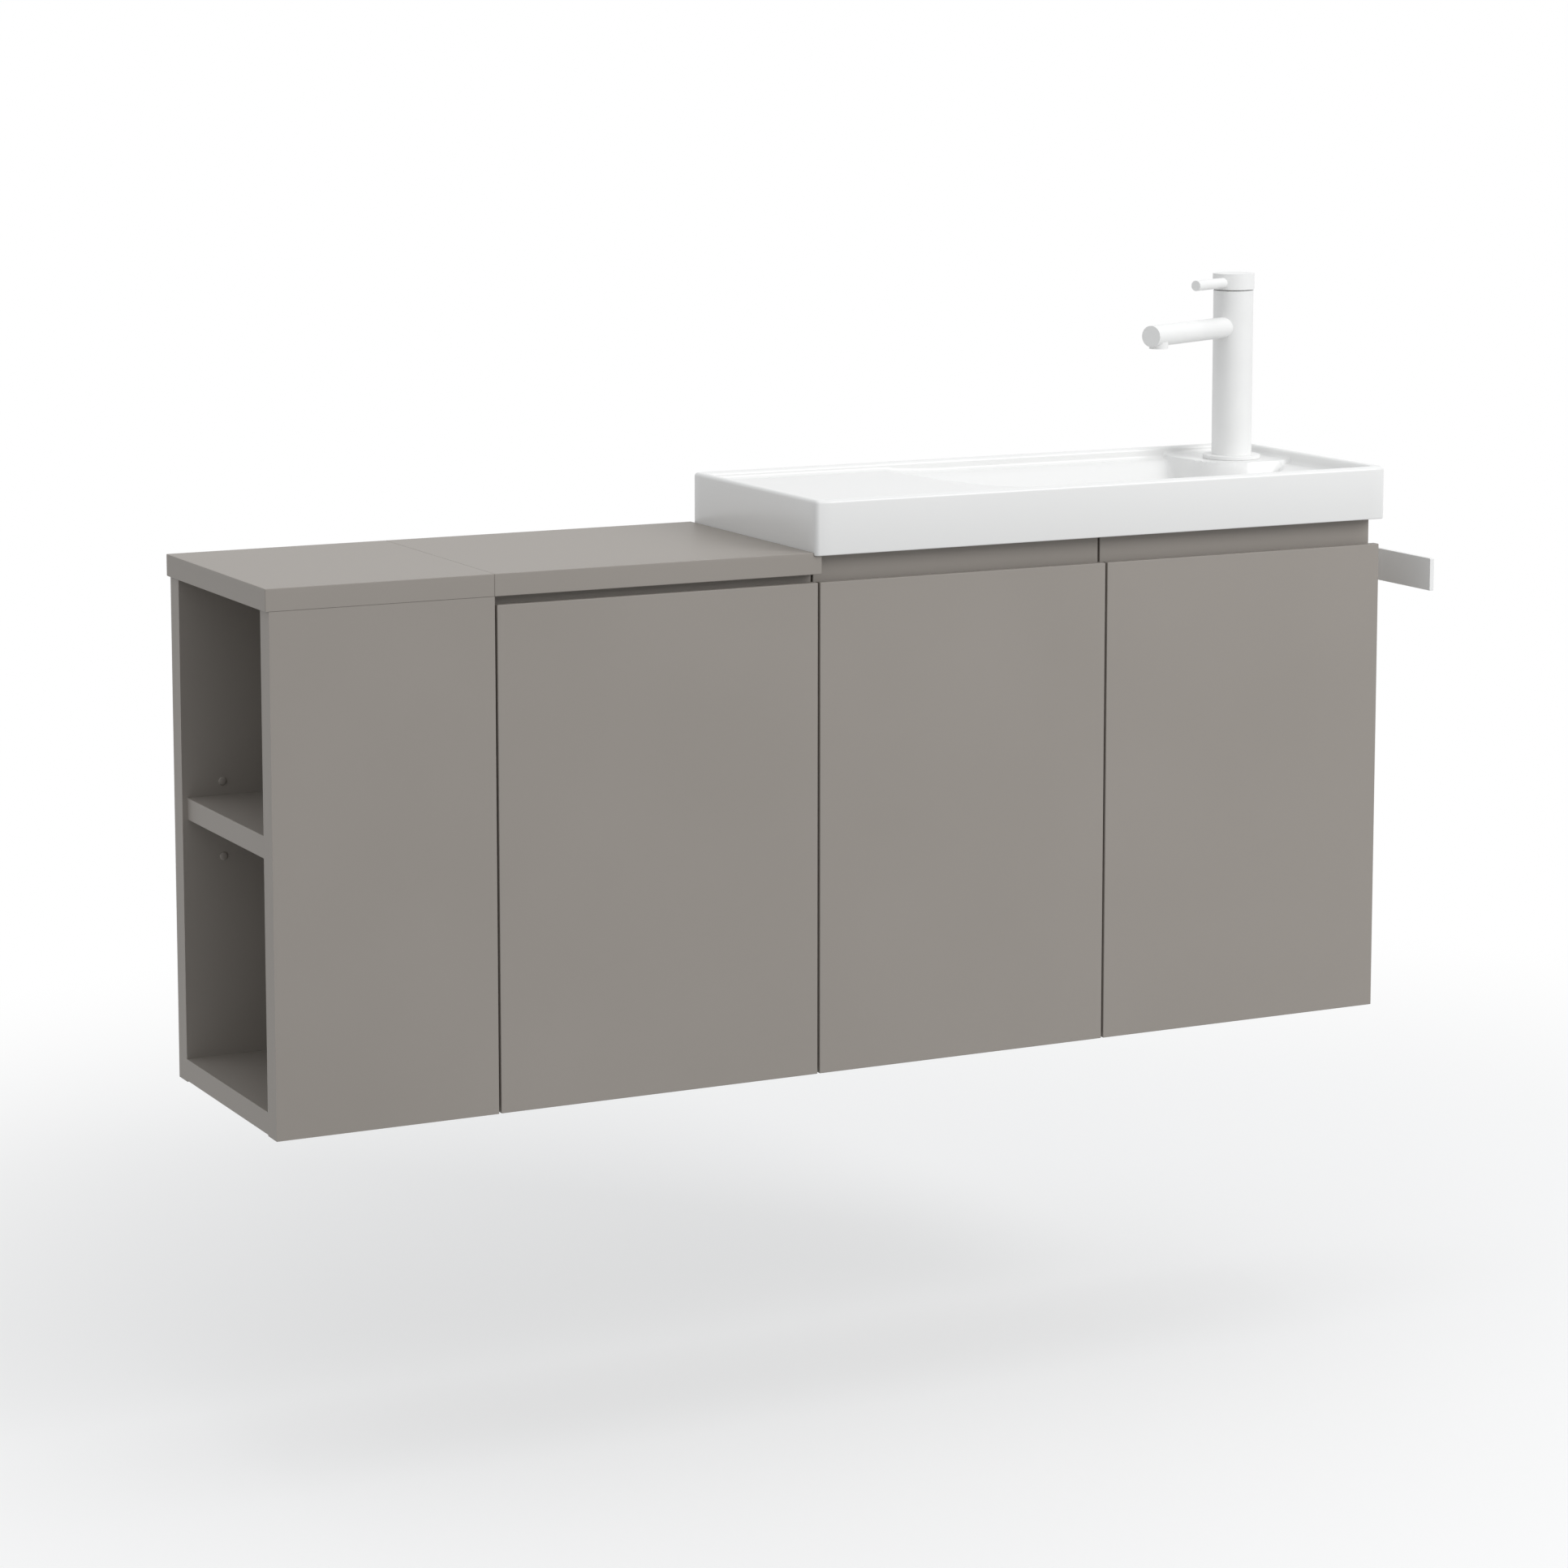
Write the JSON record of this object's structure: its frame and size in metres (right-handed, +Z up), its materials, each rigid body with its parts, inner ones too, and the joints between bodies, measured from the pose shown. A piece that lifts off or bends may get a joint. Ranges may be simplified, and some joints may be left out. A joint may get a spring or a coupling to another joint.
{
  "type": "vanity unit",
  "caption": "Slim wall-hung vanity with an open end niche, hinged doors, worktop, offset ceramic basin, single-hole mixer tap and a flat side towel rail.",
  "frame": {"origin": "on the wall, at the centre of the four wall-plate holes that carry the basin base", "axes": "+X to the right seen from the front, +Y into the wall, +Z up"},
  "size_m": [1.565, 0.338, 0.9182],
  "materials": {
    "lacquer": "matt lacquer, warm taupe grey",
    "dowel_wood": "bare beech",
    "steel": "satin",
    "clear_rubber": "soft, pale",
    "ceramic": "white glaze",
    "white_plastic": "white",
    "white_metal": "matt white coating",
    "tail_metal": "bare tube"
  },
  "bodies": {
    "cabinet": {"niche_front_panel": "lacquer", "niche_rear_panel": "lacquer", "niche_side_panel": "lacquer", "niche_floor": "lacquer", "niche_shelf": "lacquer", "shelf_pins": "steel", "niche_hole_caps": "lacquer", "worktop_left": "lacquer", "worktop_right": "lacquer", "base_side_left": "lacquer", "base_side_right": "lacquer", "base_floor": "lacquer", "base_front_rail": "lacquer", "base_rear_rail": "lacquer", "base_shelf": "lacquer", "sink_side_left": "lacquer", "sink_side_right": "lacquer", "sink_floor": "lacquer", "sink_front_rail": "lacquer", "sink_rear_rail": "lacquer", "board_dowels": "dowel_wood", "joining_bolts": "steel", "hanger_hooks": "steel", "wall_plates": "steel", "niche_keyhole_plates": "steel", "fixing_screws": "steel", "hinge_arms": "steel", "door_bumpers": "clear_rubber", "basin": "ceramic", "waste_body": "steel", "waste_nut": "steel", "trap_body": "white_plastic", "trap_cup": "white_plastic", "trap_outlet_pipe": "white_plastic", "trap_wall_collar": "white_plastic", "tap_base_ring": "white_metal", "tap_body": "white_metal", "tap_spout": "white_metal", "tap_aerator": "white_metal", "tap_cartridge": "white_plastic", "tap_shank_nut": "steel", "tap_inlets": "tail_metal", "towel_rail": "white_metal"},
    "door_1": {"door_1_panel": "lacquer", "door_1_handle_strip": "lacquer", "door_1_hinge_cups": "steel", "door_1_hinge_pins": "steel"},
    "door_2": {"door_2_panel": "lacquer", "door_2_handle_strip": "lacquer", "door_2_hinge_cups": "steel", "door_2_hinge_pins": "steel"},
    "door_3": {"door_3_panel": "lacquer", "door_3_handle_strip": "lacquer", "door_3_hinge_cups": "steel", "door_3_hinge_pins": "steel"},
    "tap_handle": {"tap_stem": "steel", "tap_cap": "white_metal", "tap_lever": "white_metal"},
    "plug": {"waste_plug": "steel"}
  },
  "joints": [
    {"name": "door_1_swing", "type": "hinge", "parent": "cabinet", "child": "door_1", "pos_m": [-0.40575, -0.328, -0.248], "axis": [0, 0, 1], "range_deg": [0, 90]},
    {"name": "door_2_swing", "type": "hinge", "parent": "cabinet", "child": "door_2", "pos_m": [-0.38475, -0.328, -0.248], "axis": [0, 0, -1], "range_deg": [0, 90]},
    {"name": "door_3_swing", "type": "hinge", "parent": "cabinet", "child": "door_3", "pos_m": [0.38625, -0.328, -0.248], "axis": [0, 0, 1], "range_deg": [0, 95]},
    {"name": "tap_turn", "type": "hinge", "parent": "cabinet", "child": "tap_handle", "pos_m": [0.33045, -0.09, 0.357], "axis": [0, 0, 1], "range_deg": [0, 100]},
    {"name": "plug_push", "type": "slide", "parent": "cabinet", "child": "plug", "axis": [0, 0, -1], "range_m": [0, 0.006]}
  ]
}
